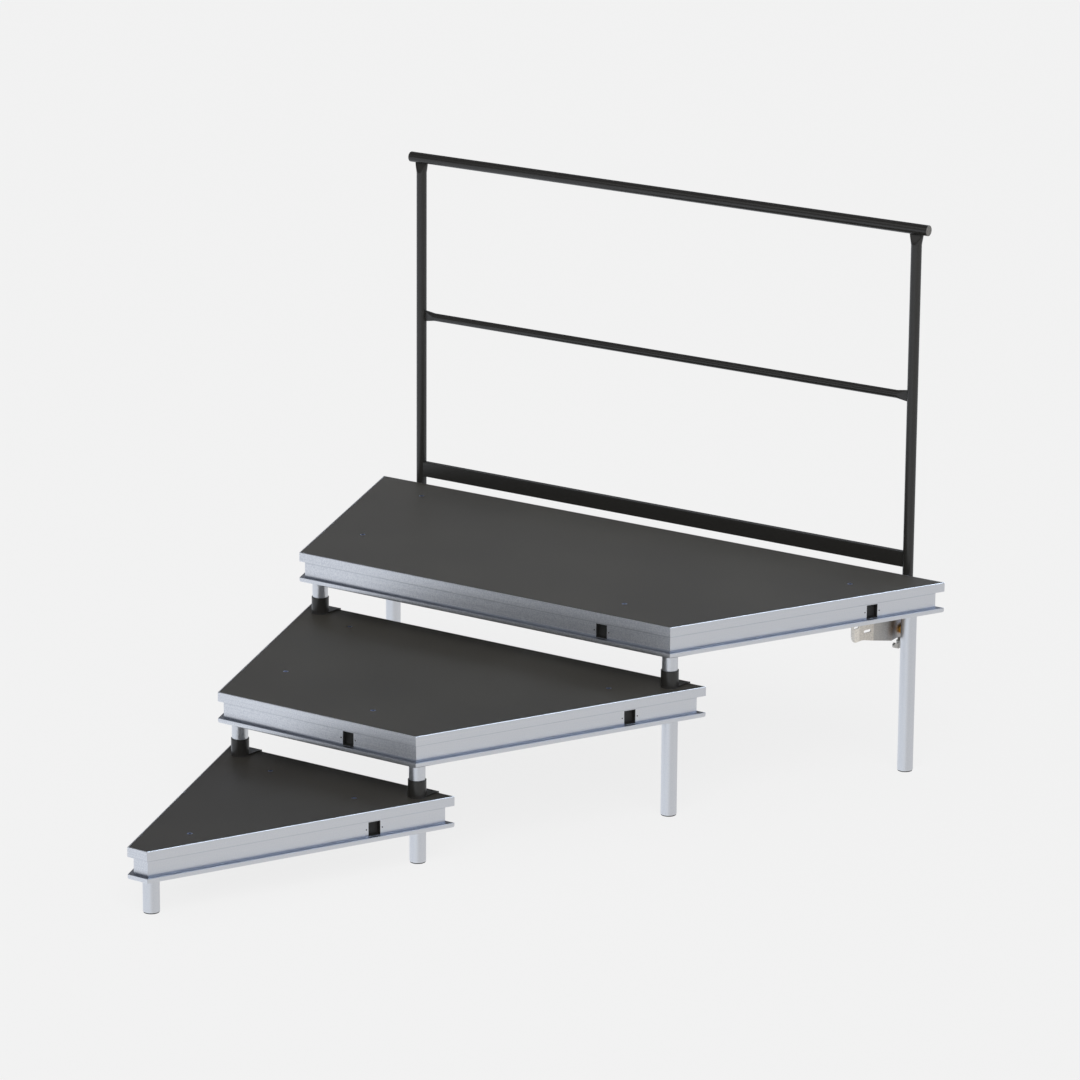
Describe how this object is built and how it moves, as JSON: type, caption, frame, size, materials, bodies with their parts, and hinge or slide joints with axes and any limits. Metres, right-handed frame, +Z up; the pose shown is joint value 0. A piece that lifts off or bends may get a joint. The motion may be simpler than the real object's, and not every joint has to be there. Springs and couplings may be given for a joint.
{
  "type": "choir riser",
  "caption": "Wedge-shaped choir riser: three aluminium stage decks at 200, 400 and 600 mm on tube legs with step adapters, coupling locks and a black rear guard rail.",
  "frame": {"origin": "on the floor, under the middle of the outer box", "axes": "+X to the riser's right seen from the front step, +Y to the tall back with the guard rail, +Z up"},
  "size_m": [2.16, 2.5566, 1.692],
  "materials": {
    "mill_aluminium": "mill-finish extruded aluminium, fine lengthwise lines",
    "dark_board": "dark grey phenolic-coated plywood, satin",
    "black_powder_coat": "satin black powder coat on steel tube",
    "black_steel": "matt black coated steel",
    "black_plastic": "matt black plastic",
    "blue_zinc_steel": "bluish zinc plating",
    "bright_zinc_steel": "bright zinc plating",
    "yellow_zinc_steel": "yellow zinc plating, brass coloured",
    "stainless_sheet": "warm grey folded stainless sheet"
  },
  "bodies": {
    "lower_deck": {"lower_board": "dark_board", "lower_front_rail": "mill_aluminium", "lower_side_rails": "mill_aluminium", "lower_back_rail": "mill_aluminium", "lower_corner_blocks": "mill_aluminium", "lower_legs": "mill_aluminium", "lower_foot_plugs": "black_plastic", "lower_lock_cases": "black_steel", "lower_step_adapters": "black_steel"},
    "middle_deck": {"middle_board": "dark_board", "middle_front_rail": "mill_aluminium", "middle_side_rails": "mill_aluminium", "middle_back_rail": "mill_aluminium", "middle_joists": "mill_aluminium", "middle_corner_blocks": "mill_aluminium", "middle_legs": "mill_aluminium", "middle_foot_plugs": "black_plastic", "middle_lock_cases": "black_steel", "middle_step_adapters": "black_steel"},
    "top_deck": {"top_board": "dark_board", "top_front_rail": "mill_aluminium", "top_side_rails": "mill_aluminium", "top_back_rail": "mill_aluminium", "top_joists": "mill_aluminium", "top_corner_blocks": "mill_aluminium", "top_legs": "mill_aluminium", "top_foot_plugs": "black_plastic", "top_lock_cases": "black_steel", "rail_brackets": "stainless_sheet", "bracket_bolts": "bright_zinc_steel", "bracket_nuts": "yellow_zinc_steel"},
    "guard_rail": {"guard_posts": "black_powder_coat", "guard_top_rail": "black_powder_coat", "guard_mid_rail": "black_powder_coat", "guard_toe_board": "black_powder_coat", "guard_rail_caps": "black_powder_coat"},
    "lower_right_latch": {"lower_right_latch": "black_steel"},
    "lower_right_key_spindle": {"lower_right_key_spindle": "blue_zinc_steel"},
    "lower_back_latch": {"lower_back_latch": "black_steel"},
    "lower_back_key_spindle": {"lower_back_key_spindle": "blue_zinc_steel"},
    "lower_left_latch": {"lower_left_latch": "black_steel"},
    "lower_left_key_spindle": {"lower_left_key_spindle": "blue_zinc_steel"},
    "middle_front_latch": {"middle_front_latch": "black_steel"},
    "middle_front_key_spindle": {"middle_front_key_spindle": "blue_zinc_steel"},
    "middle_right_latch": {"middle_right_latch": "black_steel"},
    "middle_right_key_spindle": {"middle_right_key_spindle": "blue_zinc_steel"},
    "middle_back_latch": {"middle_back_latch": "black_steel"},
    "middle_back_key_spindle": {"middle_back_key_spindle": "blue_zinc_steel"},
    "middle_left_latch": {"middle_left_latch": "black_steel"},
    "middle_left_key_spindle": {"middle_left_key_spindle": "blue_zinc_steel"},
    "top_front_latch": {"top_front_latch": "black_steel"},
    "top_front_key_spindle": {"top_front_key_spindle": "blue_zinc_steel"},
    "top_right_latch": {"top_right_latch": "black_steel"},
    "top_right_key_spindle": {"top_right_key_spindle": "blue_zinc_steel"},
    "top_back_latch": {"top_back_latch": "black_steel"},
    "top_back_key_spindle": {"top_back_key_spindle": "blue_zinc_steel"},
    "top_left_latch": {"top_left_latch": "black_steel"},
    "top_left_key_spindle": {"top_left_key_spindle": "blue_zinc_steel"},
    "left_clamp_screw": {"left_clamp_screw": "bright_zinc_steel"},
    "right_clamp_screw": {"right_clamp_screw": "bright_zinc_steel"}
  },
  "joints": [
    {"name": "middle_deck_lift", "type": "slide", "parent": "lower_deck", "child": "middle_deck", "axis": [0, 0, 1], "range_m": [0, 0.08]},
    {"name": "top_deck_lift", "type": "slide", "parent": "middle_deck", "child": "top_deck", "axis": [0, 0, 1], "range_m": [0, 0.08]},
    {"name": "guard_rail_lift", "type": "slide", "parent": "top_deck", "child": "guard_rail", "axis": [0, 0, 1], "range_m": [0, 0.2]},
    {"name": "left_clamp_screw_turn", "type": "hinge", "parent": "top_deck", "child": "left_clamp_screw", "pos_m": [-0.93702, 1.2202, 0.408], "axis": [0, 0, 1], "range_deg": [0, 360]},
    {"name": "right_clamp_screw_turn", "type": "hinge", "parent": "top_deck", "child": "right_clamp_screw", "pos_m": [0.93702, 1.2202, 0.408], "axis": [0, 0, 1], "range_deg": [0, 360]},
    {"name": "lower_right_key_spindle_turn", "type": "hinge", "parent": "lower_deck", "child": "lower_right_key_spindle", "pos_m": [0.19567, -0.54576, 0.188], "axis": [0, 0, 1], "range_deg": [0, 205]},
    {"name": "lower_right_latch_slide", "type": "slide", "parent": "lower_deck", "child": "lower_right_latch", "axis": [0.9239, -0.3827, 0], "range_m": [0, 0.03578]},
    {"name": "lower_back_key_spindle_turn", "type": "hinge", "parent": "lower_deck", "child": "lower_back_key_spindle", "pos_m": [-0.15928, -0.4913, 0.188], "axis": [0, 0, 1], "range_deg": [0, 205]},
    {"name": "lower_back_latch_slide", "type": "slide", "parent": "lower_deck", "child": "lower_back_latch", "axis": [0, 1, 0], "range_m": [0, 0.03578]},
    {"name": "lower_left_key_spindle_turn", "type": "hinge", "parent": "lower_deck", "child": "lower_left_key_spindle", "pos_m": [0.02545, -1.07958, 0.188], "axis": [0, 0, 1], "range_deg": [0, 205]},
    {"name": "lower_left_latch_slide", "type": "slide", "parent": "lower_deck", "child": "lower_left_latch", "axis": [-0.9239, -0.3827, 0], "range_m": [0, 0.03578]},
    {"name": "middle_front_key_spindle_turn", "type": "hinge", "parent": "middle_deck", "child": "middle_front_key_spindle", "pos_m": [0.10957, -0.3453, 0.388], "axis": [0, 0, 1], "range_deg": [0, 205]},
    {"name": "middle_front_latch_slide", "type": "slide", "parent": "middle_deck", "child": "middle_front_latch", "axis": [0, -1, 0], "range_m": [0, 0.03578]},
    {"name": "middle_right_key_spindle_turn", "type": "hinge", "parent": "middle_deck", "child": "middle_right_key_spindle", "pos_m": [0.52704, 0.25424, 0.388], "axis": [0, 0, 1], "range_deg": [0, 205]},
    {"name": "middle_right_latch_slide", "type": "slide", "parent": "middle_deck", "child": "middle_right_latch", "axis": [0.9239, -0.3827, 0], "range_m": [0, 0.03578]},
    {"name": "middle_back_key_spindle_turn", "type": "hinge", "parent": "middle_deck", "child": "middle_back_key_spindle", "pos_m": [-0.49065, 0.3087, 0.388], "axis": [0, 0, 1], "range_deg": [0, 205]},
    {"name": "middle_back_latch_slide", "type": "slide", "parent": "middle_deck", "child": "middle_back_latch", "axis": [0, 1, 0], "range_m": [0, 0.03578]},
    {"name": "middle_left_key_spindle_turn", "type": "hinge", "parent": "middle_deck", "child": "middle_left_key_spindle", "pos_m": [-0.34343, -0.18904, 0.388], "axis": [0, 0, 1], "range_deg": [0, 205]},
    {"name": "middle_left_latch_slide", "type": "slide", "parent": "middle_deck", "child": "middle_left_latch", "axis": [-0.9239, -0.3827, 0], "range_m": [0, 0.03578]},
    {"name": "top_front_key_spindle_turn", "type": "hinge", "parent": "top_deck", "child": "top_front_key_spindle", "pos_m": [0.44094, 0.4547, 0.588], "axis": [0, 0, 1], "range_deg": [0, 205]},
    {"name": "top_front_latch_slide", "type": "slide", "parent": "top_deck", "child": "top_front_latch", "axis": [0, -1, 0], "range_m": [0, 0.03578]},
    {"name": "top_right_key_spindle_turn", "type": "hinge", "parent": "top_deck", "child": "top_right_key_spindle", "pos_m": [0.85841, 1.05424, 0.588], "axis": [0, 0, 1], "range_deg": [0, 205]},
    {"name": "top_right_latch_slide", "type": "slide", "parent": "top_deck", "child": "top_right_latch", "axis": [0.9239, -0.3827, 0], "range_m": [0, 0.03578]},
    {"name": "top_back_key_spindle_turn", "type": "hinge", "parent": "top_deck", "child": "top_back_key_spindle", "pos_m": [-0.82202, 1.1087, 0.588], "axis": [0, 0, 1], "range_deg": [0, 205]},
    {"name": "top_back_latch_slide", "type": "slide", "parent": "top_deck", "child": "top_back_latch", "axis": [0, 1, 0], "range_m": [0, 0.03578]},
    {"name": "top_left_key_spindle_turn", "type": "hinge", "parent": "top_deck", "child": "top_left_key_spindle", "pos_m": [-0.6748, 0.61096, 0.588], "axis": [0, 0, 1], "range_deg": [0, 205]},
    {"name": "top_left_latch_slide", "type": "slide", "parent": "top_deck", "child": "top_left_latch", "axis": [-0.9239, -0.3827, 0], "range_m": [0, 0.03578]}
  ],
  "couplings": [
    {"joint": "lower_right_latch_slide", "follows": "lower_right_key_spindle_turn", "m_per_rad": 0.01},
    {"joint": "lower_back_latch_slide", "follows": "lower_back_key_spindle_turn", "m_per_rad": 0.01},
    {"joint": "lower_left_latch_slide", "follows": "lower_left_key_spindle_turn", "m_per_rad": 0.01},
    {"joint": "middle_front_latch_slide", "follows": "middle_front_key_spindle_turn", "m_per_rad": 0.01},
    {"joint": "middle_right_latch_slide", "follows": "middle_right_key_spindle_turn", "m_per_rad": 0.01},
    {"joint": "middle_back_latch_slide", "follows": "middle_back_key_spindle_turn", "m_per_rad": 0.01},
    {"joint": "middle_left_latch_slide", "follows": "middle_left_key_spindle_turn", "m_per_rad": 0.01},
    {"joint": "top_front_latch_slide", "follows": "top_front_key_spindle_turn", "m_per_rad": 0.01},
    {"joint": "top_right_latch_slide", "follows": "top_right_key_spindle_turn", "m_per_rad": 0.01},
    {"joint": "top_back_latch_slide", "follows": "top_back_key_spindle_turn", "m_per_rad": 0.01},
    {"joint": "top_left_latch_slide", "follows": "top_left_key_spindle_turn", "m_per_rad": 0.01}
  ]
}
